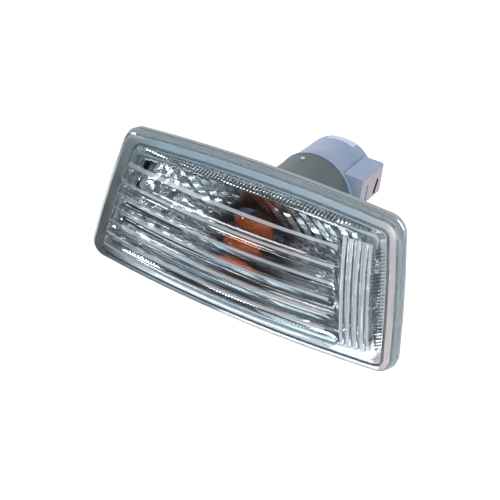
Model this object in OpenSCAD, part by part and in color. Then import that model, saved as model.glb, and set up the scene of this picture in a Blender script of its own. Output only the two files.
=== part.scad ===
// Side repeater lamp for a car front wing.
// Installed frame: the fluted front looks along -Y, +Z is up, +X runs along the length.
// The origin lies on the axis of the neck, in the plane where the gasket seats on the car wing.
// A clear fluted lens closes a shallow tray with a metallised reflector; the round neck
// of the tray takes a lamp holder with an amber wedge bulb and a two way plug socket.

/* [Lens outline] */
// length of the lens along its lower edge, mm
lens_length = 93; // [80:0.5:110]
// part of the length on the left of the neck axis, mm
left_of_axis = 45.8; // [40:0.1:56]
// how far the left end leans in towards the top, mm
left_slant = 10.2; // [0:0.1:14]
// how far the right end leans in towards the top, mm
right_slant = 5.3; // [0:0.1:14]
// height of the lower edge below the neck axis, mm
low_edge = 17.5; // [15:0.1:24]
// height of the left upper corner above the neck axis, mm
top_left = 23.2; // [18:0.1:28]
// height of the right upper corner above the neck axis, mm
top_right = 24.7; // [18:0.1:28]
// bow of the lower edge, mm
low_bow = 2.9; // [0:0.1:4]
// bow of the upper edge, mm
top_bow = 1.7; // [0:0.1:4]
// bow of the ends, mm
end_bow = 0.6; // [0:0.1:2]
// radius of the outline corners, mm
corner_r = 5.1; // [3:0.1:8]

/* [Lens rim] */
// height of the side wall from back edge to shoulder, mm
side_wall = 1.9; // [1:0.1:4]
// thickness of the side wall, mm
skirt_t = 1.5; // [0.8:0.1:2]
// draft of the side wall, mm
side_draft = 0.7; // [0.2:0.1:1]
// width of the smooth border, mm
border = 2.8; // [2.4:0.1:5]
// extra width of the border at the left end, mm
left_extra = 1.9; // [0:0.1:3]
// height of the border over the back edge, mm
border_height = 3.0; // [2.4:0.1:5]
// width of the groove inside the border, mm
groove_w = 0.5; // [0.4:0.1:1.5]
// depth of that groove, mm
groove_d = 0.7; // [0.3:0.1:1.2]

/* [Lens panel] */
// radius of the dome along the length, mm
dome_r = 205; // [150:5:400]
// height of the upper panel edge over the back edge at mid length, mm
dome_height = 7.2; // [5:0.1:10]
// extra bulge of the panel at mid height, mm
bulge = 1.3; // [0:0.1:3]
// position of the dome crown along the length, mm
crown_x = 4; // [-6:0.5:6]
// wall thickness of the panel, mm
panel_t = 2.4; // [1.8:0.1:3.5]
// tilt of the panel, its flutes rise towards the right end, degrees
panel_tilt = 0.5; // [0:0.1:1]
// inward slope of the serrated bevel, mm per mm
bevel_slope = 0.2; // [0.1:0.01:0.6]
// extra inward slope of the bevel along the lower edge, mm per mm
low_slope = 0.65; // [0:0.05:0.8]
// extra inward slope of the bevel at the right end, mm per mm
right_slope = 0.8; // [0:0.05:1]
// pitch of the serrations on the bevel, mm
serration_pitch = 0.95; // [0.8:0.05:2]
// depth of the serrations, mm
serration_depth = 0.3; // [0.1:0.01:0.4]
// height of the flutes over the panel, mm
flute_height = 0.95; // [0.4:0.05:1.4]
// number of long flutes
flute_count = 6; // [4:1:8]
// height of the upper border line of the first flute, mm
flute_top = 15.3; // [12:0.1:18]
// extra height of the first flute over the others, mm
first_extra = 0.9; // [0:0.1:1.5]
// height of the lower border line of the last flute, mm
flute_bottom = -13.0; // [-14:0.1:-10]
// flat land between two flutes, mm
flute_land = 0.8; // [0.3:0.1:1.2]
// right end of the long flutes, mm from the neck axis
flute_end = 31.2; // [20:0.1:34]
// number of upright flutes at the right end
upright_count = 4; // [2:1:6]
// pitch of the upright flutes, mm
upright_pitch = 1.75; // [1.5:0.05:2.5]
// length of the upright flutes, mm
upright_length = 29.5; // [20:0.5:31]
// bow radius of the upright flutes, mm
upright_bow = 110; // [80:5:200]

/* [Housing] */
// inset of the tray wall from the lens outline, mm
tray_inset = 5.6; // [4.5:0.1:8]
// depth of the tray behind the back edge of the lens, mm
tray_depth = 11.5; // [9:0.5:16]
// wall thickness of tray and neck, mm
wall = 1.6; // [1.2:0.1:2.5]
// wall of the neck at its open end, mm
neck_wall = 1.7; // [1.4:0.1:2.5]
// growth of the neck radius towards the tray, mm
neck_draft = 0.4; // [0:0.1:1]
// distance of the neck end from the back edge of the lens, mm
neck_end = 39.5; // [30:0.5:50]
// clearance between the neck bore and the barrel of the holder, mm
barrel_gap = 0.6; // [0.3:0.1:1]
// reach of the holder rim over the end of the neck, mm
rim_over = 0.2; // [0:0.1:0.6]

// reach of the retaining hook beyond the tray, mm
hook_reach = 2.0; // [1:0.1:3]
// width of the retaining hook, mm
hook_w = 10; // [6:0.5:16]
// room for the body panel between gasket and hook, mm
panel_room = 2.4; // [1.5:0.1:4]

/* [Gasket and spring] */
// thickness of the foam gasket, mm
gasket_t = 1.8; // [1:0.1:3]
// inset of the gasket from the lens outline, mm
gasket_inset = 0.3; // [0.1:0.1:0.6]
// width of the gasket ring, mm
gasket_w = 2.0; // [1.2:0.1:3]
// thickness of the retaining spring, mm
spring_t = 0.7; // [0.4:0.1:1]
// width of the retaining spring, mm
spring_w = 11; // [8:0.5:14]
// length of the retaining spring, mm
spring_l = 5.4; // [4.5:0.1:7]
// reach of the retaining spring, mm
spring_reach = 2.3; // [1.5:0.1:3]

/* [Reflector] */
// thickness of the reflector, mm
reflector_t = 1.1; // [0.8:0.1:2]
// radius of the bulb hole in the reflector, mm
aperture_r = 8.6; // [7:0.1:10]
// number of facets along the reflector
facets_long = 36; // [8:2:40]
// number of facets over the height of the reflector
facets_high = 10; // [4:2:14]
// height of the facet edges, mm
facet_step = 0.22; // [0:0.02:0.3]
// height of the upright pleats at the two ends of the reflector, mm
pleat_step = 0.3; // [0:0.02:0.4]

/* [Bulb] */
// radius of the glass, mm
bulb_r = 5.1; // [4:0.1:6]
// wall of the glass, mm
glass_t = 0.6; // [0.4:0.1:1]
// length of the tapered end of the glass, mm
pinch_l = 3; // [2:0.1:4]
// radius of the glass at the wedge, mm
pinch_r = 3.1; // [3:0.1:4]
// position of the bulb tip in front of the back edge of the lens, mm
bulb_tip = 3.2; // [0:0.1:4]
// length of the bulb with its wedge, mm
bulb_length = 26.8; // [22:0.1:30]
// length of the wedge, mm
wedge_length = 8.4; // [6:0.1:10]
// width of the wedge, mm
wedge_w = 9.4; // [8:0.1:11]
// thickness of the wedge, mm
wedge_t = 2.2; // [1.8:0.1:3]

/* [Holder] */
// radius of the barrel inside the neck, mm
barrel_r = 9.2; // [8:0.1:11]
// radius of the rear body, mm
holder_r = 11.2; // [9.5:0.1:13]
// distance of the rear end from the back edge of the lens, mm
holder_end = 57.5; // [50:0.5:70]
// distance of the latch housing face from the axis, mm
latch_x = 14.0; // [13:0.1:18]
// length of the latch housing, mm
latch_length = 13.5; // [8:0.5:15]
// height of the latch housing, mm
latch_height = 11; // [8:0.5:14]
// width of the plug socket, mm
socket_w = 13; // [11:0.1:15]
// height of the plug socket, mm
socket_h = 9.6; // [8:0.1:10]
// depth of the plug socket, mm
socket_d = 12; // [9:0.1:14]
// width of the contact blades, mm
blade_w = 2.8; // [1.5:0.1:3]
// thickness of the contact blades, mm
blade_t = 0.8; // [0.5:0.1:1]
// distance between the two blades, mm
blade_pitch = 5; // [4:0.1:7]

/* [Part] */
// piece to draw

/* [Hidden] */
// clearance between pieces that slide into each other
fit = 0.2;
hook_y = gasket_t + panel_room;
// overlap that keeps cuts clean
eps = 0.01;
right_of_axis = lens_length - left_of_axis;
// corners of the outline before rounding: lower left, lower right, upper right, upper left
corner_bl = [-left_of_axis, -low_edge];
corner_br = [right_of_axis, -low_edge];
corner_tr = [right_of_axis - right_slant, top_right];
corner_tl = [-left_of_axis + left_slant, top_left];
// middle height of the panel
mid_z = (top_left + top_right) / 4 - low_edge / 2;
// thickness of the border over the flange of the housing
flange_t = side_wall - 0.3;
flange_inset = skirt_t + fit / 2;
// inner side of the tray wall
cavity_inset = tray_inset + wall;
// ledge for the reflector
ledge_inset = cavity_inset - 0.9;
ledge_y = 0.9;
bevel_inset = border + groove_w;
dome_y = dome_r - dome_height;
// how far the two ends lean, mm per mm of height
lean_left = left_slant / (top_left + low_edge);
lean_right = right_slant / (top_right + low_edge);
// bows and steps of the outline, from the lower edge round over the right end
bows = [low_bow, end_bow, top_bow, end_bow];
edge_steps = [10, 3, 10, 3];
corner_steps = 6;
flute_pitch = (flute_top - first_extra - flute_bottom) / flute_count;
// border lines of the flutes, from the top down
flute_lines = [for (i = [0:flute_count]) flute_top - (i > 0 ? first_extra : 0) - i * flute_pitch];
flute_steps = 8;
// first upright flute at mid height, next to the noses of the long ones
upright_start = flute_end + upright_pitch / 2 + 0.35;
// reach of the barrel into the neck
glass_end = bulb_length - bulb_tip - wedge_length;
barrel_front = glass_end - 1.5;
slot_floor = bulb_length - bulb_tip;
bore_r = barrel_r + barrel_gap;
neck_r = bore_r + neck_wall;
// sides of the tray wall at the height of the neck axis
tray_left = -left_of_axis + lean_left * low_edge - end_bow + tray_inset;
tray_right = right_of_axis - lean_right * low_edge + end_bow - tray_inset;
spring_x = tray_right + 0.1;
spring_y = gasket_t + 2 * fit;
// lead wire and the room for it beside the wedge
lead_r = 0.24;
lead_x = 2.6;
grip_z = wedge_t / 2 + 2 * lead_r + 0.04;
seal_y = neck_end - 3.2;
seal_depth = 1.2;
latch_front = neck_end + 0.9;
latch_z = 2.9;

// corners of the outline with its left, right and lower side moved in, from the lower left one round
function corners(move) = [
    corner_bl + [move[0] + lean_left * move[2], move[2]],
    corner_br + [-move[1] - lean_right * move[2], move[2]],
    corner_tr + [-move[1], 0],
    corner_tl + [move[0], 0]];

// left hand normal of a direction
function normal(d) = [d[1], -d[0]] / norm(d);

// point at share t of a bowed edge from p to q, the bow on the outer side
function bowed(p, q, bow, t) = p + (q - p) * t + normal(q - p) * bow * 4 * t * (1 - t);

// outer normal of that edge at share t
function bowed_normal(p, q, bow, t) = normal((q - p) + normal(q - p) * bow * 4 * (1 - 2 * t));

// place where two lines meet, each given by a point and a direction
function meet(p, d, q, e) = p + d * ((q[0] - p[0]) * e[1] - (q[1] - p[1]) * e[0]) / (d[0] * e[1] - d[1] * e[0]);

// how far the straight chord of edge k of the corners c moves in near a corner when its bowed edge moves in by r
function chord_inset(c, k, r) =
    let(t = r / norm(c[(k + 1) % 4] - c[k]))
    r - bows[k] * 4 * t * (1 - t);

// corner k of the corners c moved in by r
function inner_corner(c, k, r) =
    let(j = (k + 3) % 4, p = c[j], q = c[k], e = c[(k + 1) % 4])
    meet(q - normal(q - p) * chord_inset(c, j, r), q - p, q - normal(e - q) * chord_inset(c, k, r), e - q);

// bow of edge k between its two inner corners p and q
function inner_bow(c, k, p, q) = bows[k] * pow(norm(q - p) / norm(c[(k + 1) % 4] - c[k]), 2);

// points of the rounded outline moved in by inset, always the same number
function ring(inset, round_r, move = [0, 0, 0]) =
    let(c = corners(move))
    [for (k = [0:3])
        let(j = (k + 1) % 4, p = inner_corner(c, k, round_r), q = inner_corner(c, j, round_r),
            next = inner_corner(c, (k + 2) % 4, round_r), bow = inner_bow(c, k, p, q), n = edge_steps[k],
            out = round_r - inset,
            n1 = bowed_normal(p, q, bow, 1), n2 = bowed_normal(q, next, inner_bow(c, j, q, next), 0),
            a1 = atan2(n1[1], n1[0]), turn = (atan2(n2[1], n2[0]) - a1 + 720) % 360)
        each concat(
            [for (i = [0:n]) bowed(p, q, bow, i / n) + bowed_normal(p, q, bow, i / n) * out],
            [for (i = [1:corner_steps - 1]) let(a = a1 + turn * i / corner_steps) q + [cos(a), sin(a)] * out])];

// height of the panel bulge at z, before the flutes
function crown(z) = bulge * (1 - pow((z - mid_z) / 17, 2));

// height of flute i at share k of its width
function flute(k) = flute_height * (1 - pow(2 * k - 1, 2));

// outline of the lens, moved in by the given inset and side moves
module outline(inset = 0, move = [0, 0, 0]) {
    polygon(ring(inset, max(corner_r, inset + 1), move));
}

// the pieces are drawn from the back edge of the lens, this sets them against the seat of the gasket
module from_seat() {
    translate([0, -gasket_t, 0])
        children();
}

// flat shape given over x and z, made solid from y0 to y1
module along_y(y0, y1) {
    translate([0, y1, 0])
        rotate([90, 0, 0])
            linear_extrude(height = y1 - y0)
                children();
}

// round bar on the neck axis from y0 to y1
module bar(y0, y1, r1, r2) {
    translate([0, y0, 0])
        rotate([-90, 0, 0])
            cylinder(h = y1 - y0, r1 = r1, r2 = r2, $fn = 72);
}

// body through a stack of levels, each with its place along y, its inset of the outline and its side moves
module stack(levels) {
    round_r = max([for (l = levels) max(corner_r, l[1] + 1)]);
    rings = [for (l = levels) ring(l[1], round_r, len(l) > 2 ? l[2] : [0, 0, 0])];
    n = len(rings[0]);
    m = len(levels);
    points = [for (k = [0:m - 1]) for (p = rings[k]) [p[0], levels[k][0], p[1]]];
    sides = [for (k = [0:m - 2]) for (i = [0:n - 1]) for (h = [0, 1])
        let(a = k * n + i, b = k * n + (i + 1) % n)
        h == 0 ? [a, b, a + n] : [b, b + n, a + n]];
    first = [for (i = [n - 1:-1:0]) i];
    last = [for (i = [0:n - 1]) (m - 1) * n + i];
    polyhedron(points = points, faces = concat(sides, [first], [last]));
}

// slice of a ring around an upright line behind the lens, moved back from the panel face by back
module dome(back, fluted) {
    z0 = -low_edge - 4;
    z1 = top_right + 4;
    face = dome_r - back;
    profile = fluted
        ? concat(
            [[face + crown(z0), z0]],
            [for (i = [flute_count - 1:-1:0]) for (k = [0:flute_steps])
                let(w = flute_lines[i] - flute_lines[i + 1] - flute_land,
                    z = flute_lines[i + 1] + flute_land / 2 + w * k / flute_steps)
                [face + crown(z) + flute(k / flute_steps), z]],
            [[face + crown((z1 + flute_top) / 2), (z1 + flute_top) / 2], [face + crown(z1), z1]])
        : [for (i = [0:16]) let(z = z0 + (z1 - z0) * i / 16) [face + crown(z), z]];
    translate([crown_x, dome_y, 0])
        rotate([0, -panel_tilt, 0])
            rotate([0, 0, 257])
                rotate_extrude(angle = 26, $fn = 320)
                    polygon(concat([[dome_r - 12, z0]], profile, [[dome_r - 12, z1]]));
}

// plan of the long flutes: each ends in a round nose, on a line that leans like the right end
module flute_plan() {
    nose = (flute_pitch - flute_land) / 2;
    polygon([
        [-left_of_axis, -low_edge - 3], [flute_end - nose + lean_right * (low_edge + 3), -low_edge - 3],
        [flute_end - nose - lean_right * (top_right + 3), top_right + 3], [-left_of_axis, top_right + 3]]);
    for (i = [0:flute_count - 1]) {
        z = (flute_lines[i] + flute_lines[i + 1]) / 2;
        r = (flute_lines[i] - flute_lines[i + 1] - flute_land) / 2;
        translate([flute_end - r - lean_right * z, z])
            circle(r = r, $fn = 48);
    }
}

// short upright flutes at the right end of the panel
module upright_flutes() {
    arc = 2 * asin(upright_length / 2 / upright_bow);
    for (i = [0:upright_count - 1]) {
        x = upright_start + i * upright_pitch - lean_right * mid_z;
        y = dome_y - sqrt(pow(dome_r + bulge, 2) - pow(x - crown_x, 2));
        translate([x, y + upright_bow + 0.25, mid_z + 0.5])
            rotate([0, 90 - atan(lean_right), 0])
                rotate([0, 0, 270 - arc / 2])
                    rotate_extrude(angle = arc, $fn = 200)
                        translate([upright_bow, 0])
                            circle(r = upright_pitch / 2 - 0.12, $fn = 14);
    }
}

// teeth cut across the bevel, all round the panel
module serrations() {
    c = corners([left_extra, 0, 0]);
    slopes = [bevel_slope + low_slope, bevel_slope + right_slope, bevel_slope, bevel_slope];
    for (k = [0:3]) {
        p0 = c[k];
        p1 = c[(k + 1) % 4];
        span = norm(p1 - p0);
        n = floor((span - 2 * (bevel_inset + 3)) / serration_pitch);
        for (i = [0:n]) {
            t = 0.5 + (i - n / 2) * serration_pitch / span;
            p = bowed(p0, p1, bows[k], t);
            q = bowed(p0, p1, bows[k], t + 0.01);
            a = atan2(q[1] - p[1], q[0] - p[0]);
            translate([p[0], -border_height, p[1]])
                rotate([0, -a, 0])
                    translate([0, 0, bevel_inset])
                        rotate([90 - atan(slopes[k]), 0, 0])
                            rotate([0, 0, 45])
                                translate([0, 0, 0.2])
                                    linear_extrude(height = 6.5)
                                        square(serration_depth * sqrt(2), center = true);
        }
    }
}

// body of the raised panel, its flank is the bevel
module bevel(inset) {
    rise = dome_height + 3.5 - border_height;
    sink = border_height - 1.2;
    stack([
        [-border_height - rise, inset + bevel_slope * rise, [left_extra, right_slope * rise, low_slope * rise]],
        [-border_height + sink, inset - bevel_slope * sink, [left_extra, -right_slope * sink, -low_slope * sink]]]);
}

// clear fluted lens with smooth border and side wall
module lens() {
    color("LightBlue", 0.35)
    from_seat()
    difference() {
        union() {
            stack([
                [-border_height, border], [-border_height + 0.15, side_draft + 1.1],
                [-side_wall - 0.45, side_draft + 0.4], [-side_wall, side_draft], [0, 0]]);
            difference() {
                intersection() {
                    bevel(bevel_inset);
                    union() {
                        dome(0.05, false);
                        intersection() {
                            dome(0, true);
                            along_y(-dome_height - 6, 0) flute_plan();
                        }
                        upright_flutes();
                    }
                }
                serrations();
            }
        }
        // groove between border and bevel
        difference() {
            along_y(-border_height - 1, -border_height + groove_d) outline(border - 0.05, [left_extra, 0, 0]);
            along_y(-border_height - 2, 1) outline(bevel_inset, [left_extra, 0, 0]);
        }
        // seat of the housing flange
        along_y(-flange_t, 1) outline(flange_inset);
        // hollow behind the panel
        intersection() {
            bevel(bevel_inset + 1.7);
            dome(panel_t, false);
        }
    }
}

// point of the reflector surface, u and v from -1 to 1
function tray_point(u, v, inset) =
    let(
        s = (u + 1) / 2,
        h = (v + 1) / 2,
        low = bowed(corner_bl + [inset, inset], corner_br + [-inset, inset], low_bow, s),
        top = bowed(corner_tr + [-inset, -inset], corner_tl + [inset, -inset], top_bow, 1 - s))
    low * (1 - h) + top * h;

// depth of the reflector bowl
function bowl(u, v) = 1.0 + (tray_depth - wall - 2.6) * (1 - pow(abs(u), 2.2)) * (1 - pow(abs(v), 2.4));

// metallised reflector with facets and a round hole for the bulb
module reflector() {
    inset = cavity_inset + 0.5;
    nu = facets_long;
    nv = facets_high;
    front = [for (j = [0:nv]) for (i = [0:nu])
        let(u = 2 * i / nu - 1, v = 2 * j / nv - 1, p = tray_point(u, v, inset),
            pleat = abs(u) > 0.72, turn = pleat ? i : i + j,
            step = (turn % 2 == 0 ? 1 : -1) * (pleat ? pleat_step : facet_step),
            edge = (i == 0 || j == 0 || i == nu || j == nv))
        [p[0], bowl(u, v) + (edge ? 0 : step), p[1]]];
    n = len(front);
    back = [for (p = front) p + [0, reflector_t, 0]];
    w = nu + 1;
    front_faces = [for (j = [0:nv - 1]) for (i = [0:nu - 1]) for (k = [0, 1])
        let(a = j * w + i, b = a + 1, c = a + w, d = c + 1)
        k == 0 ? [a, c, b] : [b, c, d]];
    back_faces = [for (f = front_faces) [f[0] + n, f[2] + n, f[1] + n]];
    rim = concat(
        [for (i = [0:nu - 1]) i],
        [for (j = [0:nv - 1]) nu + j * w],
        [for (i = [nu:-1:1]) nv * w + i],
        [for (j = [nv:-1:1]) j * w]);
    m = len(rim);
    side_faces = [for (k = [0:m - 1]) for (q = [0, 1])
        let(a = rim[k], b = rim[(k + 1) % m])
        q == 0 ? [a, b, a + n] : [b, b + n, a + n]];
    color("Silver")
    from_seat()
    difference() {
        union() {
            intersection() {
                polyhedron(points = concat(front, back), faces = concat(front_faces, back_faces, side_faces));
                along_y(-1, tray_depth) outline(cavity_inset + fit);
            }
            // rim that rests on the ledge of the tray
            difference() {
                along_y(ledge_y - 0.9, ledge_y) outline(ledge_inset + fit);
                along_y(-1, tray_depth) outline(cavity_inset + 1.2);
            }
            difference() {
                along_y(ledge_y - 0.9, ledge_y + 1.3) outline(cavity_inset + fit);
                along_y(-1, tray_depth) outline(cavity_inset + 1.2);
            }
            // collar around the bulb hole
            bar(tray_depth - wall - 2.4, tray_depth - wall, aperture_r + 1.1, aperture_r + 1.1);
        }
        bar(-5, tray_depth + 5, aperture_r, aperture_r);
    }
}

// housing: flange, tray and neck
module housing() {
    color("DimGray")
    from_seat()
    difference() {
        union() {
            along_y(-flange_t, 0) outline(flange_inset + fit / 2);
            stack([[-0.5, tray_inset], [tray_depth - 1.5, tray_inset + 0.4], [tray_depth, tray_inset + 1.6]]);
            bar(tray_depth - 1, neck_end, neck_r + neck_draft, neck_r);
            // ribs between tray and neck
            for (a = [45, 135, 225, 315])
                rotate([0, a, 0])
                    translate([neck_r - 1, tray_depth - 1, -0.7])
                        cube([2.6, 6, 1.4]);
            // small moulding mark on the neck
            rotate([0, -101, 0])
                translate([neck_r - 0.6, 35, 0])
                    rotate([0, 90, 0])
                        cylinder(h = 1.1, r = 0.55, $fn = 16);
            // retaining hook at the left end
            translate([tray_left - hook_reach, hook_y, -hook_w / 2])
                cube([hook_reach + 1, 3.4, hook_w]);
            // socket for the retaining spring at the right end
            translate([tray_right - 1.2, gasket_t + fit, -spring_w / 2 - 1.4])
                cube([1.9 + spring_t, spring_l - 0.2, spring_w + 2.8]);
        }
        // tray with the ledge for the reflector
        along_y(-flange_t - 1, ledge_y) outline(ledge_inset);
        stack([[0, cavity_inset], [tray_depth - wall, cavity_inset + 0.3]]);
        bar(tray_depth - wall - 1, neck_end + 1, bore_r, bore_r);
        // lead-in of the neck bore
        bar(neck_end - 0.6, neck_end + eps, bore_r, bore_r + 0.6);
        // slot for the retaining spring
        translate([spring_x - 0.05, spring_y, -spring_w / 2 - fit])
            cube([spring_t + 0.1, spring_l + 2, spring_w + 2 * fit]);
        // room for the free leg of the spring
        translate([spring_x - 0.05, spring_y + 1.1, -spring_w / 2 - fit])
            cube([spring_reach + 1, spring_l + 2, spring_w + 2 * fit]);
    }
}

// foam ring between lens and body panel
module gasket() {
    color("#222222")
    from_seat()
    difference() {
        along_y(0, gasket_t) outline(gasket_inset);
        along_y(-1, gasket_t + 1) outline(gasket_inset + gasket_w);
    }
}

// bent strip of spring steel that holds the lamp in the panel
module retaining_spring() {
    x = spring_x;
    y = spring_y;
    t = spring_t;
    r = spring_reach;
    l = spring_l;
    color("Silver")
    from_seat()
    translate([0, 0, -spring_w / 2])
        linear_extrude(height = spring_w)
            polygon([
                [x, y], [x + t, y], [x + t, y + l - 2 * t], [x + 1.8 * t, y + l - 2.2 * t],
                [x + r - t, y + 0.42 * l], [x + 0.62 * r, y + 0.18 * l], [x + 0.62 * r + 0.8 * t, y + 0.1 * l],
                [x + r, y + 0.42 * l], [x + 2.6 * t, y + l - 1.2 * t], [x + 1.4 * t, y + l], [x, y + l - t]]);
}

// half profile of the glass from its tip, t is the depth under its outer face
module glass_profile(t, end) {
    intersection() {
        square([bulb_r, end]);
        union() {
            translate([0, bulb_r])
                circle(r = bulb_r - t, $fn = 48);
            polygon([
                [0, bulb_r], [bulb_r - t, bulb_r], [bulb_r - t, end - pinch_l],
                [t > 0 ? bulb_r - t - 1.1 : pinch_r, end], [0, end]]);
        }
    }
}

// amber glass of the wedge bulb
module bulb_glass() {
    color("DarkOrange", 0.7)
    from_seat()
    difference() {
        union() {
            translate([0, -bulb_tip, 0])
                rotate([-90, 0, 0])
                    rotate_extrude($fn = 40)
                        difference() {
                            glass_profile(0, glass_end + bulb_tip);
                            glass_profile(glass_t, glass_end + bulb_tip - pinch_l);
                        }
            translate([-wedge_w / 2, glass_end - 2.2, -wedge_t / 2])
                cube([wedge_w, wedge_length + 2.2, wedge_t]);
        }
        // channels of the two lead wires through the wedge
        for (x = [-1, 1])
            translate([x * lead_x, glass_end - pinch_l - 1, 0])
                rotate([-90, 0, 0])
                    cylinder(h = wedge_length + pinch_l + 2, r = lead_r + 0.02, $fn = 16);
    }
}

// coiled wire between the two leads
module filament() {
    color("DimGray")
    from_seat()
    translate([-lead_x, 4.2, 0])
        rotate([0, 90, 0])
            difference() {
                union() {
                    cylinder(h = 2 * lead_x, r = 0.16, $fn = 16);
                    for (i = [0:8])
                        translate([0, 0, lead_x - 1.71 + i * 0.4])
                            cylinder(h = 0.22, r = 0.42, $fn = 16);
                }
                translate([0, 0, -1])
                    cylinder(h = 1 + lead_r + 0.02, r = 1, $fn = 16);
                translate([0, 0, 2 * lead_x - lead_r - 0.02])
                    cylinder(h = 1 + lead_r, r = 1, $fn = 16);
            }
}

// lead wire of the bulb on the given side, folded back over the end of the wedge
module lead(side) {
    bend_y = slot_floor + lead_r + 0.02;
    fold_z = side * (wedge_t / 2 + lead_r + 0.02);
    color("Gray")
    from_seat()
    translate([side * lead_x, 0, 0])
        union() {
            translate([0, 3.9, 0])
                rotate([-90, 0, 0])
                    cylinder(h = bend_y - 3.9, r = lead_r, $fn = 16);
            translate([0, bend_y, 0])
                sphere(r = lead_r, $fn = 16);
            translate([0, bend_y, min(fold_z, 0)])
                cylinder(h = abs(fold_z), r = lead_r, $fn = 16);
            translate([0, bend_y, fold_z])
                sphere(r = lead_r, $fn = 16);
            translate([0, bend_y - 4.5, fold_z])
                rotate([-90, 0, 0])
                    cylinder(h = 4.5, r = lead_r, $fn = 16);
        }
}

module lead_left() {
    lead(-1);
}

module lead_right() {
    lead(1);
}

// lamp holder: barrel with bulb slot, rear body, latch housing and plug socket
module holder() {
    color("Lavender")
    from_seat()
    difference() {
        union() {
            bar(barrel_front, barrel_front + 1, barrel_r - 1, barrel_r);
            bar(barrel_front + 1, neck_end + 1, barrel_r, barrel_r);
            // thin rim on the end of the neck
            bar(neck_end, neck_end + 0.9, neck_r + rim_over, neck_r + rim_over);
            bar(neck_end + 0.9, holder_end - 2.2, holder_r, holder_r - 0.2);
            translate([0, holder_end - 2.2, 0])
                rotate([-90, 0, 0])
                    rotate_extrude($fn = 72)
                        intersection() {
                            square([holder_r - 0.2, 2.2]);
                            translate([holder_r - 2.4, 0])
                                union() {
                                    circle(r = 2.2, $fn = 32);
                                    translate([-holder_r, 0])
                                        square([holder_r, 2.2]);
                                }
                        }
            // latch housing of the plug
            translate([0, latch_front, latch_z])
                rotate([-90, 0, 0])
                    linear_extrude(height = latch_length)
                        polygon([
                            [8, latch_height / 2], [latch_x - 1.8, latch_height / 2], [latch_x, latch_height / 2 - 2.2],
                            [latch_x, -latch_height / 2 + 0.5], [latch_x - 0.5, -latch_height / 2], [8, -latch_height / 2]]);
        }
        // flat on the upper rear end
        translate([-6.5, holder_end - 4.2, holder_r - 1.1])
            cube([13, 6, 4]);
        // groove of the seal ring
        difference() {
            bar(seal_y - 1.1, seal_y + 1.1, barrel_r + 2, barrel_r + 2);
            bar(seal_y - 2, seal_y + 2, barrel_r - seal_depth, barrel_r - seal_depth);
        }
        // mouth for the end of the glass
        bar(barrel_front - 1, glass_end + 0.1, bulb_r + 0.5, bulb_r + 0.5);
        // slot of the bulb wedge
        translate([-wedge_w / 2 - fit, barrel_front - 1, -wedge_t / 2 - fit])
            cube([wedge_w + 2 * fit, slot_floor - barrel_front + 1, wedge_t + 2 * fit]);
        // pocket for the contact springs beside the wedge
        for (x = [-1, 1])
            translate([x * blade_pitch / 2 - 1.6, barrel_front - 1, -wedge_t / 2 - 1.6])
                cube([3.2, slot_floor - barrel_front + 2.6, wedge_t + 3.2]);
        // plug socket
        translate([-socket_w / 2, holder_end - socket_d, -socket_h / 2])
            cube([socket_w, socket_d + 1, socket_h]);
        // ways of the blades through the body
        for (x = [-1, 1])
            translate([x * blade_pitch / 2 - blade_w / 2, slot_floor, -blade_t / 2])
                cube([blade_w, holder_end - slot_floor - socket_d + 1, blade_t]);
        // slot and groove in the face of the latch housing
        translate([latch_x - 2.2, latch_front + 8.6, latch_z - 2.2])
            rotate([-22, 0, 0])
                cube([3, 1.5, 4.4]);
        translate([latch_x - 0.35, latch_front + 3.6, latch_z - 2.6])
            cube([1, 0.9, 5]);
    }
}

// rubber ring between barrel and neck bore
module holder_seal() {
    color("#303030")
    from_seat()
    translate([0, seal_y, 0])
        rotate([-90, 0, 0])
            rotate_extrude($fn = 72)
                translate([(barrel_r - seal_depth + bore_r) / 2, 0])
                    circle(r = (bore_r - barrel_r + seal_depth) / 2, $fn = 20);
}

// contact: blade in the plug socket, bar through the body, two leaves on the wedge
module contact(side) {
    x = side * blade_pitch / 2;
    leaf_y = glass_end + 0.5;
    bridge_y = slot_floor + 2 * lead_r + 0.1;
    color("Gold")
    from_seat()
    union() {
        translate([x - blade_w / 2, bridge_y, -blade_t / 2])
            cube([blade_w, holder_end - 3 - bridge_y, blade_t]);
        for (s = [-1, 1]) {
            translate([x - 1.2, leaf_y, s > 0 ? grip_z : -grip_z - 0.5])
                cube([2.4, bridge_y + 0.7 - leaf_y, 0.5]);
        }
        translate([x - 1.2, bridge_y, -grip_z - 0.5])
            cube([2.4, 0.7, 2 * grip_z + 1]);
    }
}

module contact_left() {
    contact(-1);
}

module contact_right() {
    contact(1);
}

lens();
reflector();
housing();
gasket();
retaining_spring();
bulb_glass();
filament();
lead_left();
lead_right();
holder();
holder_seal();
contact_left();
contact_right();
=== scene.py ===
"""Side repeater lamp: materials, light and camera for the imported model."""
import math

import bmesh
import bpy
from mathutils import Matrix, Vector


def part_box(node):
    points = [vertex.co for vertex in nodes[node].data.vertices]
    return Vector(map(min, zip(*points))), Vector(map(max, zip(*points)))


MM = 0.001

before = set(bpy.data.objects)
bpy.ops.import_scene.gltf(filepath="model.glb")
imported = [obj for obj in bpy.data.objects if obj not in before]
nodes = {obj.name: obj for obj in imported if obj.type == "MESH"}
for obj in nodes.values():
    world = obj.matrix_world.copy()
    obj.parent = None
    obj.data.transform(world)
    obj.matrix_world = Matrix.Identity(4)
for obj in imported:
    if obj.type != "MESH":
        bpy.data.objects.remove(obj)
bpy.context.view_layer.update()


# Places on the pieces. X runs to the right, Y back into the car and Z up.

# how near to a plane a surface of the lens counts as on it, and how near its corners a groove wall ends
SLACK = 0.05 * MM
WALL_SLACK = 0.02 * MM
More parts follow.
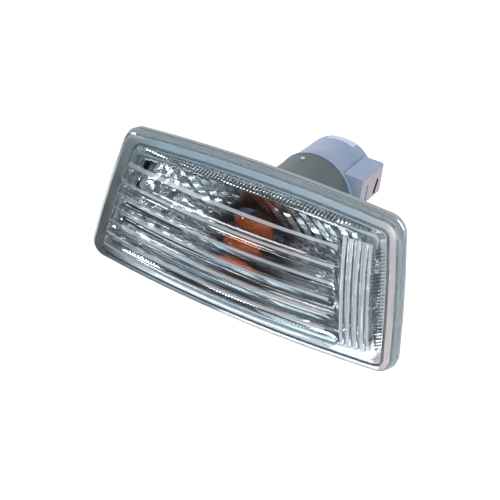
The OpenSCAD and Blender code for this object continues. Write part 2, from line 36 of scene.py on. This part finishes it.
# back of the lens, front of its smooth border, floor of the groove inside it, and front of its panel
LENS_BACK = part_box("lens")[1][1]
BORDER_FRONT = LENS_BACK - 3.0 * MM
GROOVE_FLOOR = BORDER_FRONT + 0.7 * MM
PANEL_FRONT = LENS_BACK - 7.2 * MM
# the panel curves back from this X with this radius
CROWN_X = 4 * MM
DOME_RADIUS = 205 * MM
# it faces straight ahead at this height, and turns up by this share of its direction in each metre above
PANEL_MIDDLE = 3.2 * MM
PANEL_TURN = 0.009 / MM

# long flutes: top of the first, bottom of the last, right end, and where their round left ends begin
FLUTES_TOP = 15.9 * MM
FLUTES_LOW = -13.5 * MM
FLUTES_RIGHT = 29 * MM
ROUND_ENDS = -22 * MM
# the pale skin that paints the highlight on their lands fades out between these two, from right to left
FADE_LEFT = -38 * MM
FADE_RIGHT = -24 * MM
# strip of the upright flutes: its sides at the height of the neck axis, its lean, its top and its low end
UPRIGHTS_LEFT = 31.9 * MM
UPRIGHTS_RIGHT = 39.2 * MM
UPRIGHTS_LEAN = 0.126
UPRIGHTS_TOP = 18.5 * MM
UPRIGHTS_LOW = -11.6 * MM
# teeth above this height hold dust and painted shade
TEETH_LOW = -9 * MM
# how far behind the plain panel the lands, the round ends and the crests of the upright flutes may lie
LAND_DEPTH = 0.6 * MM
ROUND_END_DEPTH = 0.5 * MM
CREST_DEPTH = 0.4 * MM
# the flank below the flutes ends in front of this
FLANK_BACK = BORDER_FRONT - 0.3 * MM

# browned lacquer of the reflector: from the first radius it thins out to the second
BROWNED_R = 10 * MM
CLEAN_R = 16 * MM

# moulding mark on the neck: the radii round its top, and its two ends
MARK_LOW_R = 11.7 * MM
MARK_TOP_R = 12.3 * MM
MARK_FRONT = 32 * MM
MARK_BACK = 34.4 * MM
# the coating covers the flange in front of this, and its tones run as far as this to each side
COAT_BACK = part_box("housing")[0][1] + 0.1 * MM
COAT_REACH = 45 * MM

# outer face of the holder's latch housing, and the slot in it
LATCH_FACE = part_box("holder")[1][0] - 0.03 * MM
SLOT_FLOOR = 11.75 * MM
SLOT_FRONT = 44.5 * MM
SLOT_BACK = 50.2 * MM
SLOT_LOW = -0.5 * MM
SLOT_TOP = 6 * MM
# flat on the upper rear end of the holder
FLAT_FRONT = 51.4 * MM
FLAT_LOW = 9.5 * MM
FLAT_HALF = 4.2 * MM


# Directions of surfaces, as the share of the outward direction that points along an axis

# the floor of the groove looks ahead by at least this, and the lands by this
FLOOR_AHEAD = -0.98
LAND_AHEAD = -0.8
# the walls of the groove look ahead or back by no more than this
WALL_AHEAD = 0.25
# the sides of the teeth are turned by more than this, both sideways and upright
TOOTH_TURN = 0.35
# how far the lands may face off the plain panel, upright
LAND_OFF = 0.06
# walls of the round ends: least turn sideways, most turn upright
ROUND_END_TURN = 0.22
ROUND_END_TILT = 0.8
# most turn sideways of the crests of the upright flutes
CREST_TURN = 0.6
# the lower flank of the panel falls away at 40 degrees: its turn upright, the room for it, and its most
# turn sideways
FLANK_TILT = -0.762
FLANK_OFF = 0.08
FLANK_TURN = 0.3


# Colours, as sRGB hex values

LENS_TINT = "#F2F8FB"
LENS_SHADE = "#E8F0F5"
# pale satin skin that paints the highlights on the lens
HIGHLIGHT_WHITE = "#E6EDF2"
# dust and painted shade in the groove of the lens and on its teeth
DUST_AND_SHADE_GREY = "#262E32"
AMBER = "#B4560E"
AMBER_SHADE = "#E0A060"
MIRROR_COAT = "#E4E7EA"
BROWNED_COAT = "#4C3A38"
NECK_DARK = "#4A5256"
NECK_GREY = "#545D61"
# painted highlight on the top of the moulding mark
MARK_HIGHLIGHT = "#B4C6CC"
HOLDER_DARK = "#7B8BA5"
HOLDER_GREY = "#8A96AC"
# painted shade on the outer face of the latch housing
LATCH_SHADE = "#8A8088"
# painted shade in the slot of the latch housing
SLOT_SHADE = "#2A2624"
# painted highlight on the flat of the holder's rear end
FLAT_HIGHLIGHT = "#AEBED2"
FOAM_GREY = "#8E9498"
SEAL_BLACK = "#222324"
SPRING_GREY = "#B9BBBC"
TIN_COAT = "#C9BFA0"
WIRE_GREY = "#6B6B6E"
FLOOR_WHITE = "#F4F4F4"
ROOM_HAZE = "#D8DFE6"
# coating of the flange with painted reflection and shade, from its left end, dark, to its right one,
# pinkish
COAT_AND_REFLECTION_TONES = [(0.05, "#706C68"), (0.24, "#BCCCD6"), (0.85, "#D0DAE0"), (0.97, "#F2E2E0")]
# tones of the room in front, from the ground up to the ceiling
ROOM_TONES = [
    (0.0, "#4E5052"), (0.18, "#5E6062"), (0.25, "#A6AAAE"), (0.36, "#686A6E"), (0.44, "#C4C8CC"),
    (0.53, "#CCD0D4"), (0.6, "#54585C"), (0.8, "#868C94"), (1.0, "#D0D8E0")]
# tones from the left hand wall to the right hand one
ROOM_SIDES = [
    (0.0, "#F4F0F0"), (0.15, "#A8A4A4"), (0.25, "#7C807E"), (0.38, "#DCDCDC"), (0.55, "#FFFAF8"),
    (1.0, "#FFF6F2")]

ACRYLIC_IOR = 1.49
GLASS_IOR = 1.5
# share of the satin skin that paints the highlights, of the dust and painted shade, and of the dust and
# painted shade on the teeth beside that in the groove
HIGHLIGHT_SHARE = 0.36
DUST_AND_SHADE_SHARE = 0.72
TEETH_SHARE = 0.85


def linear(hex_colour):
    """The sRGB hex value as the linear colour that the nodes work in, fully opaque."""
    parts = [int(hex_colour[i:i + 2], 16) / 255 for i in (1, 3, 5)]
    return tuple(c / 12.92 if c <= 0.04045 else ((c + 0.055) / 1.055) ** 2.4 for c in parts) + (1.0,)


def add_node(tree, kind, settings={}, values={}, links={}):
    """Adds a node with its settings, its input values and the outputs that feed its inputs."""
    node = tree.nodes.new(kind)
    for key, value in settings.items():
        setattr(node, key, value)
    for key, value in values.items():
        node.inputs[key].default_value = value
    for key, source in links.items():
        tree.links.new(source, node.inputs[key])
    return node


def set_ramp(node, stops):
    """Gives a colour ramp its stops, each a position and a hex colour."""
    elements = node.color_ramp.elements
    while len(elements) < len(stops):
        elements.new(0.5)
    for element, (position, hex_colour) in zip(elements, stops):
        element.position = position
        element.color = linear(hex_colour)


def combine(tree, operation, values):
    """One arithmetic operation over all the values, one after another."""
    result = values[0]
    for value in values[1:]:
        step = add_node(tree, "ShaderNodeMath", {"operation": operation}, {}, {0: result, 1: value})
        result = step.outputs[0]
    return result


def mask_where(tree, limits):
    """One where each value lies between its low and its high limit, else nought. None is no limit."""
    tests = []
    for value, low, high in limits:
        for operation, limit in (("GREATER_THAN", low), ("LESS_THAN", high)):
            if limit is not None:
                test = add_node(tree, "ShaderNodeMath", {"operation": operation}, {1: limit}, {0: value})
                tests.append(test.outputs[0])
    return combine(tree, "MULTIPLY", tests)


def split_coordinate(tree, name):
    """X, Y and Z of a coordinate: Object is the place on the piece and Normal the direction that its
    surface faces, while Generated is the direction of the ray in the world."""
    coords = add_node(tree, "ShaderNodeTexCoord")
    split = add_node(tree, "ShaderNodeSeparateXYZ", links={"Vector": coords.outputs[name]})
    return split.outputs["X"], split.outputs["Y"], split.outputs["Z"]


def radius_from_axis(tree, x, z):
    """Distance of a point from the axis of the neck, which runs along Y."""
    flat = add_node(tree, "ShaderNodeCombineXYZ", links={"X": x, "Z": z})
    length = add_node(tree, "ShaderNodeVectorMath", {"operation": "LENGTH"},
                      links={0: flat.outputs["Vector"]})
    return length.outputs["Value"]


def per_metre(size_mm):
    """Scale of a pattern whose repeat measures size_mm."""
    return 1 / (size_mm * MM)


def give_grain(tree, shader, size_mm, depth_mm, strength):
    """Raised grain of the given size and depth on the whole surface."""
    coords = add_node(tree, "ShaderNodeTexCoord")
    grain = add_node(tree, "ShaderNodeTexNoise", values={"Scale": per_metre(size_mm), "Detail": 2.0},
                     links={"Vector": coords.outputs["Object"]})
    bump = add_node(tree, "ShaderNodeBump", values={"Distance": depth_mm * MM, "Strength": strength},
                    links={"Height": grain.outputs["Fac"]})
    tree.links.new(bump.outputs["Normal"], shader.inputs["Normal"])


def clouded_colour(tree, size_mm, dark, light):
    """A colour that drifts softly between two tones, in clouds of the given size."""
    coords = add_node(tree, "ShaderNodeTexCoord")
    drift = add_node(tree, "ShaderNodeTexNoise", values={"Scale": per_metre(size_mm), "Detail": 2.0},
                     links={"Vector": coords.outputs["Object"]})
    tone = add_node(tree, "ShaderNodeValToRGB", links={"Fac": drift.outputs["Fac"]})
    set_ramp(tone, [(0.35, dark), (0.65, light)])
    return tone.outputs["Color"]


# Materials

def new_material(name, hex_colour, roughness, values={}):
    """A material with its node tree and its shader."""
    mat = bpy.data.materials.new(name)
    mat.use_nodes = True
    shader = mat.node_tree.nodes["Principled BSDF"]
    shader.inputs["Base Color"].default_value = linear(hex_colour)
    shader.inputs["Roughness"].default_value = roughness
    for key, value in values.items():
        shader.inputs[key].default_value = value
    return mat, mat.node_tree, shader


def let_shadow_rays_through(tree, surface, tint):
    """Clear material doesn't throw a black shadow: shadow rays pass, slightly tinted."""
    path = add_node(tree, "ShaderNodeLightPath")
    clear = add_node(tree, "ShaderNodeBsdfTransparent", values={"Color": linear(tint)})
    mix = add_node(tree, "ShaderNodeMixShader",
                   links={0: path.outputs["Is Shadow Ray"], 1: surface, 2: clear.outputs["BSDF"]})
    tree.links.new(mix.outputs["Shader"], tree.nodes["Material Output"].inputs["Surface"])


def dust_and_shade_on_lens(tree, place, facing):
    """Share of dust and painted shade: all over the groove, a little thinner on the sides of the teeth."""
    _, y, z = place
    sideways, back, upright = facing
    turn = add_node(tree, "ShaderNodeMath", {"operation": "ABSOLUTE"}, links={0: sideways})
    tilt = add_node(tree, "ShaderNodeMath", {"operation": "ABSOLUTE"}, links={0: upright})
    groove_floor = mask_where(tree, [
        (y, GROOVE_FLOOR - SLACK, GROOVE_FLOOR + SLACK), (back, None, FLOOR_AHEAD)])
    groove_walls = mask_where(tree, [
        (y, BORDER_FRONT + WALL_SLACK, GROOVE_FLOOR - WALL_SLACK), (back, -WALL_AHEAD, WALL_AHEAD)])
    teeth = mask_where(tree, [
        (y, None, BORDER_FRONT - SLACK), (z, TEETH_LOW, None),
        (turn.outputs[0], TOOTH_TURN, None), (tilt.outputs[0], TOOTH_TURN, None)])
    thin = add_node(tree, "ShaderNodeMath", {"operation": "MULTIPLY"}, {1: TEETH_SHARE}, {0: teeth})
    dirt_and_shade = combine(tree, "MAXIMUM", [groove_floor, groove_walls, thin.outputs[0]])
    share = add_node(tree, "ShaderNodeMath", {"operation": "MULTIPLY"}, {1: DUST_AND_SHADE_SHARE}, {0: dirt_and_shade})
    return share.outputs[0]


def painted_highlight_on_lens(tree, place, facing):
    """Share of a pale satin skin, a painted highlight, on the parts of the panel that catch the light: the
    lands between the long flutes, the walls of their round ends, the crests of the upright flutes and the
    lower flank."""
    x, y, z = place
    sideways, back, upright = facing
    # how far up or down a point faces beside the plain panel at its height
    plain = add_node(tree, "ShaderNodeMath", {"operation": "MULTIPLY_ADD"},
                     {1: PANEL_TURN, 2: -PANEL_TURN * PANEL_MIDDLE}, {0: z})
    off_plain = combine(tree, "SUBTRACT", [upright, plain.outputs[0]])
    # how far it lies behind the plain panel, which curves back on both sides of its crown
    from_crown = add_node(tree, "ShaderNodeMath", {"operation": "SUBTRACT"}, {1: CROWN_X}, {0: x})
    squared = add_node(tree, "ShaderNodeMath", {"operation": "POWER"}, {1: 2.0}, {0: from_crown.outputs[0]})
    front = add_node(tree, "ShaderNodeMath", {"operation": "MULTIPLY_ADD"},
                     {1: 1 / (2 * DOME_RADIUS), 2: PANEL_FRONT}, {0: squared.outputs[0]})
    sunk = combine(tree, "SUBTRACT", [y, front.outputs[0]])
    land = mask_where(tree, [
        (off_plain, -LAND_OFF, LAND_OFF), (back, None, LAND_AHEAD), (sunk, None, LAND_DEPTH),
        (y, None, BORDER_FRONT - SLACK), (z, None, FLUTES_TOP), (x, None, FLUTES_RIGHT)])
    fade = add_node(tree, "ShaderNodeMapRange", values={"From Min": FADE_LEFT, "From Max": FADE_RIGHT},
                    links={"Value": x})
    land = combine(tree, "MULTIPLY", [land, fade.outputs["Result"]])
    turn = add_node(tree, "ShaderNodeMath", {"operation": "ABSOLUTE"}, links={0: sideways})
    round_ends = mask_where(tree, [
        (turn.outputs[0], ROUND_END_TURN, None), (upright, -ROUND_END_TILT, ROUND_END_TILT),
        (sunk, None, ROUND_END_DEPTH), (x, None, ROUND_ENDS), (z, FLUTES_LOW, FLUTES_TOP)])
    # place across the strip of the upright flutes, as if it stood straight
    across = add_node(tree, "ShaderNodeMath", {"operation": "MULTIPLY_ADD"}, {1: UPRIGHTS_LEAN},
                      {0: z, 2: x})
    crests = mask_where(tree, [
        (across.outputs[0], UPRIGHTS_LEFT, UPRIGHTS_RIGHT), (z, UPRIGHTS_LOW, UPRIGHTS_TOP),
        (sunk, None, CREST_DEPTH), (sideways, -CREST_TURN, CREST_TURN)])
    flank = mask_where(tree, [
        (upright, FLANK_TILT - FLANK_OFF, FLANK_TILT + FLANK_OFF), (sideways, -FLANK_TURN, FLANK_TURN),
        (y, None, FLANK_BACK)])
    pale = combine(tree, "MAXIMUM", [land, crests, flank, round_ends])
    share = add_node(tree, "ShaderNodeMath", {"operation": "MULTIPLY"}, {1: HIGHLIGHT_SHARE}, {0: pale})
    return share.outputs[0]


def clear_moulded_acrylic():
    """Injection moulded lens: clear and highly polished. A thin pale satin skin paints highlights so that
    the ribs read as pale lines, and dust with painted shade darkens the groove and the sides of the teeth."""
    mat, tree, shader = new_material("clear_moulded_acrylic", LENS_TINT, roughness=0.02,
                                     values={"Transmission Weight": 1.0, "IOR": ACRYLIC_IOR})
    place = split_coordinate(tree, "Object")
    facing = split_coordinate(tree, "Normal")
    # pale satin skin: a painted highlight on the ribs, the round ends, the upright crests and the lower
    # flank
    highlight_skin = add_node(tree, "ShaderNodeBsdfPrincipled",
                     values={"Base Color": linear(HIGHLIGHT_WHITE), "Roughness": 0.35, "IOR": ACRYLIC_IOR})
    ribbed = add_node(tree, "ShaderNodeMixShader",
                      links={0: painted_highlight_on_lens(tree, place, facing), 1: shader.outputs["BSDF"],
                             2: highlight_skin.outputs["BSDF"]})
    # dust with painted shade, dark in the groove and on the sides of the teeth
    dust_and_shade = add_node(tree, "ShaderNodeBsdfPrincipled",
                    values={"Base Color": linear(DUST_AND_SHADE_GREY), "Roughness": 0.6, "IOR": ACRYLIC_IOR})
    dusted_and_shaded = add_node(tree, "ShaderNodeMixShader",
                     links={0: dust_and_shade_on_lens(tree, place, facing), 1: ribbed.outputs["Shader"],
                            2: dust_and_shade.outputs["BSDF"]})
    let_shadow_rays_through(tree, dusted_and_shaded.outputs["Shader"], LENS_SHADE)
    return mat


def amber_lacquered_glass():
    """Blown glass with an amber lacquer: deep orange where the wall is seen edge on."""
    mat, tree, shader = new_material("amber_lacquered_glass", AMBER, roughness=0.08,
                                     values={"Transmission Weight": 0.6, "IOR": GLASS_IOR})
    let_shadow_rays_through(tree, shader.outputs["BSDF"], AMBER_SHADE)
    return mat


def vacuum_metallised_plastic():
    """Aluminium flashed on moulded facets under clear lacquer: a slightly soft mirror."""
    mat, tree, shader = new_material("vacuum_metallised_plastic", MIRROR_COAT, roughness=0.12,
                                     values={"Metallic": 1.0})
    # lacquer browned by the heat of the bulb round its hole
    x, _, z = split_coordinate(tree, "Object")
    outward = add_node(tree, "ShaderNodeMapRange", values={"From Min": BROWNED_R, "From Max": CLEAN_R},
                       links={"Value": radius_from_axis(tree, x, z)})
    tone = add_node(tree, "ShaderNodeValToRGB", links={"Fac": outward.outputs["Result"]})
    set_ramp(tone, [(0.0, BROWNED_COAT), (1.0, MIRROR_COAT)])
    tree.links.new(tone.outputs["Color"], shader.inputs["Base Color"])
    # dust haze of the coating, 0.3 mm, drawn at 0.6 mm so that it shows
    give_grain(tree, shader, size_mm=0.6, depth_mm=0.002, strength=0.5)
    return mat


def grained_grey_abs():
    """Moulded housing: fine grained dark grey, its front flange metallised like the reflector with painted
    reflection and shade, dark at its left end and pinkish at its right, and a painted highlight on the top
    of its small moulding mark."""
    mat, tree, shader = new_material("grained_grey_abs", NECK_GREY, roughness=0.5)
    x, y, z = split_coordinate(tree, "Object")
    # faint flow clouding of the moulding, about 15 mm across
    plain = clouded_colour(tree, size_mm=15, dark=NECK_DARK, light=NECK_GREY)
    radius = radius_from_axis(tree, x, z)
    # painted highlight, pale on the top of the moulding mark
    mark = mask_where(tree, [(radius, MARK_LOW_R, MARK_TOP_R), (y, MARK_FRONT, MARK_BACK)])
    mark_highlighted = add_node(tree, "ShaderNodeMix", {"data_type": "RGBA"}, {"B": linear(MARK_HIGHLIGHT)},
                      {"Factor": mark, "A": plain})
    tree.links.new(mark_highlighted.outputs["Result"], shader.inputs["Base Color"])
    # spark eroded grain of 0.15 mm, drawn at 0.4 mm so that it shows at all
    give_grain(tree, shader, size_mm=0.4, depth_mm=0.03, strength=0.4)
    # painted reflection and shade on the coating of the flange: darker towards its left end, pinkish at its
    # right
    along = add_node(tree, "ShaderNodeMapRange", values={"From Min": -COAT_REACH, "From Max": COAT_REACH},
                     links={"Value": x})
    coat_and_reflection = add_node(tree, "ShaderNodeValToRGB", links={"Fac": along.outputs["Result"]})
    set_ramp(coat_and_reflection, COAT_AND_REFLECTION_TONES)
    flange = add_node(tree, "ShaderNodeBsdfPrincipled", values={"Metallic": 0.55, "Roughness": 0.3},
                      links={"Base Color": coat_and_reflection.outputs["Color"]})
    front = mask_where(tree, [(y, None, COAT_BACK)])
    mix = add_node(tree, "ShaderNodeMixShader",
                   links={0: front, 1: shader.outputs["BSDF"], 2: flange.outputs["BSDF"]})
    tree.links.new(mix.outputs["Shader"], tree.nodes["Material Output"].inputs["Surface"])
    return mat


def satin_lilac_pbt():
    """Moulded bulb holder: pale lilac grey with a satin skin, with painted shade on the outer face of the
    latch housing and in its slot, and a painted highlight on the flat of the rear end."""
    mat, tree, shader = new_material("satin_lilac_pbt", HOLDER_GREY, roughness=0.38)
    x, y, z = split_coordinate(tree, "Object")
    patches = [
        # painted shade on the outer face of the latch housing
        (LATCH_SHADE, [(x, LATCH_FACE, None)]),
        # painted shade in the slot
        (SLOT_SHADE, [(x, SLOT_FLOOR, LATCH_FACE), (y, SLOT_FRONT, SLOT_BACK), (z, SLOT_LOW, SLOT_TOP)]),
        # painted highlight on the flat of the rear end
        (FLAT_HIGHLIGHT, [(y, FLAT_FRONT, None), (z, FLAT_LOW, None), (x, -FLAT_HALF, FLAT_HALF)])]
    # glass fibre mottling, about 12 mm across
    colour = clouded_colour(tree, size_mm=12, dark=HOLDER_DARK, light=HOLDER_GREY)
    for hex_colour, limits in patches:
        patched = add_node(tree, "ShaderNodeMix", {"data_type": "RGBA"}, {"B": linear(hex_colour)},
                           {"Factor": mask_where(tree, limits), "A": colour})
        colour = patched.outputs["Result"]
    tree.links.new(colour, shader.inputs["Base Color"])
    # eroded skin of 0.2 mm, drawn at 0.5 mm so that it shows
    give_grain(tree, shader, size_mm=0.5, depth_mm=0.02, strength=0.3)
    return mat


def closed_cell_foam():
    """Die cut foam ring: dull pale grey, with cut cells on its sides."""
    mat, tree, shader = new_material("closed_cell_foam", FOAM_GREY, roughness=0.9)
    # cells of 0.6 mm
    give_grain(tree, shader, size_mm=0.6, depth_mm=0.1, strength=0.6)
    return mat


def moulded_seal_rubber():
    """Moulded ring: smooth black rubber with a dull sheen."""
    mat, tree, shader = new_material("moulded_seal_rubber", SEAL_BLACK, roughness=0.55)
    # faint ripple of the mould, 1 mm across
    give_grain(tree, shader, size_mm=1.0, depth_mm=0.02, strength=0.3)
    return mat


def bare_metal(name, hex_colour, roughness):
    """Drawn or rolled metal: bright, with fine marks of the tool."""
    mat, tree, shader = new_material(name, hex_colour, roughness, values={"Metallic": 1.0})
    # tool marks of 0.1 mm, drawn at 0.8 mm so that they show
    give_grain(tree, shader, size_mm=0.8, depth_mm=0.01, strength=0.3)
    return mat


# Pieces of the CAD frame

def smooth_by_angle(obj, degrees):
    """Joins the loose triangles and shades them smooth up to an angle, as a live modifier."""
    weld = obj.modifiers.new("join", "WELD")
    weld.merge_threshold = 0.002 * MM
    name = "smooth_up_to_angle_%d" % degrees
    group = bpy.data.node_groups.get(name)
    if group is None:
        group = bpy.data.node_groups.new(name, "GeometryNodeTree")
        for in_out in ("INPUT", "OUTPUT"):
            group.interface.new_socket("Geometry", in_out=in_out, socket_type="NodeSocketGeometry")
        start = add_node(group, "NodeGroupInput")
        faces = add_node(group, "GeometryNodeSetShadeSmooth", {"domain": "FACE"},
                         links={"Geometry": start.outputs["Geometry"]})
        angle = add_node(group, "GeometryNodeInputMeshEdgeAngle")
        limit = add_node(group, "ShaderNodeMath", {"operation": "LESS_THAN"}, {1: math.radians(degrees)},
                         {0: angle.outputs["Unsigned Angle"]})
        edges = add_node(group, "GeometryNodeSetShadeSmooth", {"domain": "EDGE"},
                         links={"Geometry": faces.outputs["Geometry"], "Shade Smooth": limit.outputs[0]})
        add_node(group, "NodeGroupOutput", links={"Geometry": edges.outputs["Geometry"]})
    smooth = obj.modifiers.new("smooth", "NODES")
    smooth.node_group = group


lead_wire = bare_metal("drawn_lead_wire", SPRING_GREY, roughness=0.3)
tinned_brass = bare_metal("tinned_brass", TIN_COAT, roughness=0.28)
# each piece, its material, and the angle up to which it is shaded smooth, nought where it has true facets
finishes = [
    ("lens", clear_moulded_acrylic(), 0),
    ("reflector", vacuum_metallised_plastic(), 0),
    ("housing", grained_grey_abs(), 35),
    ("gasket", closed_cell_foam(), 30),
    ("retaining_spring", bare_metal("rolled_spring_steel", SPRING_GREY, roughness=0.3), 50),
    ("bulb_glass", amber_lacquered_glass(), 40),
    ("filament", bare_metal("drawn_tungsten_wire", WIRE_GREY, roughness=0.4), 30),
    ("lead_left", lead_wire, 50),
    ("lead_right", lead_wire, 50),
    ("holder", satin_lilac_pbt(), 35),
    ("holder_seal", moulded_seal_rubber(), 60),
    ("contact_left", tinned_brass, 30),
    ("contact_right", tinned_brass, 30)]
for name, material, degrees in finishes:
    nodes[name].data.materials.clear()
    nodes[name].data.materials.append(material)
    if degrees:
        smooth_by_angle(nodes[name], degrees)


# Camera

AZIMUTH = math.radians(26.8)
ELEVATION = math.radians(31.4)
ROLL = math.radians(7.0)
DISTANCE = 317.85 * MM
# focal length and width of the sensor, in millimetres as the camera takes them
FOCAL = 90.0
SENSOR = 36.0
# the point that the camera's axis goes by, in front of the seat on the neck axis
AIM_POINT = Vector((0, -1.8 * MM, 0))
# how far the axis of the view passes from that point, to the right and up
AIM_RIGHT = 2.6 * MM
AIM_UP = -0.05 * MM


def add_camera():
    """The photo's view: from the right and above, with the picture turned a little clockwise."""
    right = Vector((math.cos(AZIMUTH), math.sin(AZIMUTH), 0))
    ahead = Vector((-math.sin(AZIMUTH) * math.cos(ELEVATION), math.cos(AZIMUTH) * math.cos(ELEVATION),
                    -math.sin(ELEVATION)))
    up = right.cross(ahead)
    turned_right = right * math.cos(ROLL) + up * math.sin(ROLL)
    turned_up = up * math.cos(ROLL) - right * math.sin(ROLL)
    data = bpy.data.cameras.new("camera")
    data.lens = FOCAL
    data.sensor_width = SENSOR
    data.clip_start = 10 * MM
    cam = bpy.data.objects.new("camera", data)
    bpy.context.scene.collection.objects.link(cam)
    place = AIM_POINT + turned_right * AIM_RIGHT + turned_up * AIM_UP - ahead * DISTANCE
    turn = Matrix((turned_right, turned_up, -ahead)).transposed().to_4x4()
    cam.matrix_world = Matrix.Translation(place) @ turn
    bpy.context.scene.camera = cam


# Light and floor, in metres and watts

# half the side of the floor, its front edge and its height
FLOOR_HALF = 1.6
FLOOR_FRONT = -0.1
FLOOR_HEIGHT = -0.3
# light that the floor adds where it is seen or mirrored, so that it looks white
FLOOR_GLOW = 0.4
# strength of the even light that matt surfaces take from the room
HAZE_STRENGTH = 0.8
# share of a ray that points back: the room ends at the first and the white backdrop is full at the second
BACKDROP_START = 0.1
BACKDROP_FULL = 0.4


def add_area(name, place, width, height, power):
    """Softbox that looks at the lamp and that the camera doesn't see."""
    data = bpy.data.lights.new(name, "AREA")
    data.shape = "RECTANGLE"
    data.size = width
    data.size_y = height
    data.energy = power
    obj = bpy.data.objects.new(name, data)
    bpy.context.scene.collection.objects.link(obj)
    obj.location = place
    obj.rotation_euler = (-Vector(place)).to_track_quat("-Z", "Y").to_euler()
    obj.visible_camera = False


def add_world():
    """White backdrop behind the lamp, a soft grey room in front of it that the bright parts mirror."""
    world = bpy.data.worlds.new("studio")
    bpy.context.scene.world = world
    world.use_nodes = True
    tree = world.node_tree
    across, back, up = split_coordinate(tree, "Generated")
    tones = []
    for share, stops in ((up, ROOM_TONES), (across, ROOM_SIDES)):
        # a ray's share runs from -1 to 1, and the ramp from 0 to 1
        position = add_node(tree, "ShaderNodeMapRange", values={"From Min": -1.0, "From Max": 1.0},
                            links={"Value": share})
        ramp = add_node(tree, "ShaderNodeValToRGB", links={"Fac": position.outputs["Result"]})
        set_ramp(ramp, stops)
        tones.append(ramp.outputs["Color"])
    tone = add_node(tree, "ShaderNodeMix", {"data_type": "RGBA", "blend_type": "MULTIPLY"}, {"Factor": 1.0},
                    {"A": tones[0], "B": tones[1]})
    room = tree.nodes["Background"]
    room.inputs["Strength"].default_value = 1.0
    tree.links.new(tone.outputs["Result"], room.inputs["Color"])
    white = add_node(tree, "ShaderNodeBackground", values={"Color": (1, 1, 1, 1), "Strength": 1.0})
    haze = add_node(tree, "ShaderNodeBackground",
                    values={"Color": linear(ROOM_HAZE), "Strength": HAZE_STRENGTH})
    path = add_node(tree, "ShaderNodeLightPath")
    behind = add_node(tree, "ShaderNodeMapRange",
                      values={"From Min": BACKDROP_START, "From Max": BACKDROP_FULL},
                      links={"Value": back})
    surface = room.outputs["Background"]
    # shiny parts mirror the room and the backdrop, matt ones take an even haze, and the camera sees white
    for share, other in ((behind.outputs["Result"], white), (path.outputs["Is Diffuse Ray"], haze),
                         (path.outputs["Is Camera Ray"], white)):
        mix = add_node(tree, "ShaderNodeMixShader",
                       links={0: share, 1: surface, 2: other.outputs["Background"]})
        surface = mix.outputs["Shader"]
    tree.links.new(surface, tree.nodes["World Output"].inputs["Surface"])


def add_floor():
    """Pale floor under and behind the lamp, white to the camera where no shadow falls on it."""
    bm = bmesh.new()
    bmesh.ops.create_grid(bm, x_segments=1, y_segments=1, size=FLOOR_HALF)
    bmesh.ops.translate(bm, verts=bm.verts, vec=(0, FLOOR_HALF + FLOOR_FRONT, FLOOR_HEIGHT))
    mesh = bpy.data.meshes.new("floor")
    bm.to_mesh(mesh)
    bm.free()
    floor = bpy.data.objects.new("floor", mesh)
    bpy.context.scene.collection.objects.link(floor)
    mat, tree, shader = new_material("matt_white_floor", FLOOR_WHITE, roughness=0.9)
    glow = add_node(tree, "ShaderNodeEmission", values={"Color": (1, 1, 1, 1), "Strength": FLOOR_GLOW})
    path = add_node(tree, "ShaderNodeLightPath")
    rays = ("Is Camera Ray", "Is Glossy Ray", "Is Transmission Ray")
    seen = combine(tree, "MAXIMUM", [path.outputs[ray] for ray in rays])
    bright = add_node(tree, "ShaderNodeAddShader",
                      links={0: shader.outputs["BSDF"], 1: glow.outputs["Emission"]})
    mix = add_node(tree, "ShaderNodeMixShader",
                   links={0: seen, 1: shader.outputs["BSDF"], 2: bright.outputs["Shader"]})
    tree.links.new(mix.outputs["Shader"], tree.nodes["Material Output"].inputs["Surface"])
    mesh.materials.append(mat)


add_camera()
add_world()
add_floor()
add_area("key", (-0.8, -0.1, 0.55), width=0.5, height=0.25, power=7)
add_area("fill", (0.7, -0.5, 0.25), width=1.1, height=0.9, power=10)
# low strip in front that draws the thin bright line down each flute
add_area("strip", (-0.15, -0.45, -0.62), width=0.9, height=0.05, power=1.6)
bpy.context.scene.view_settings.view_transform = "Standard"
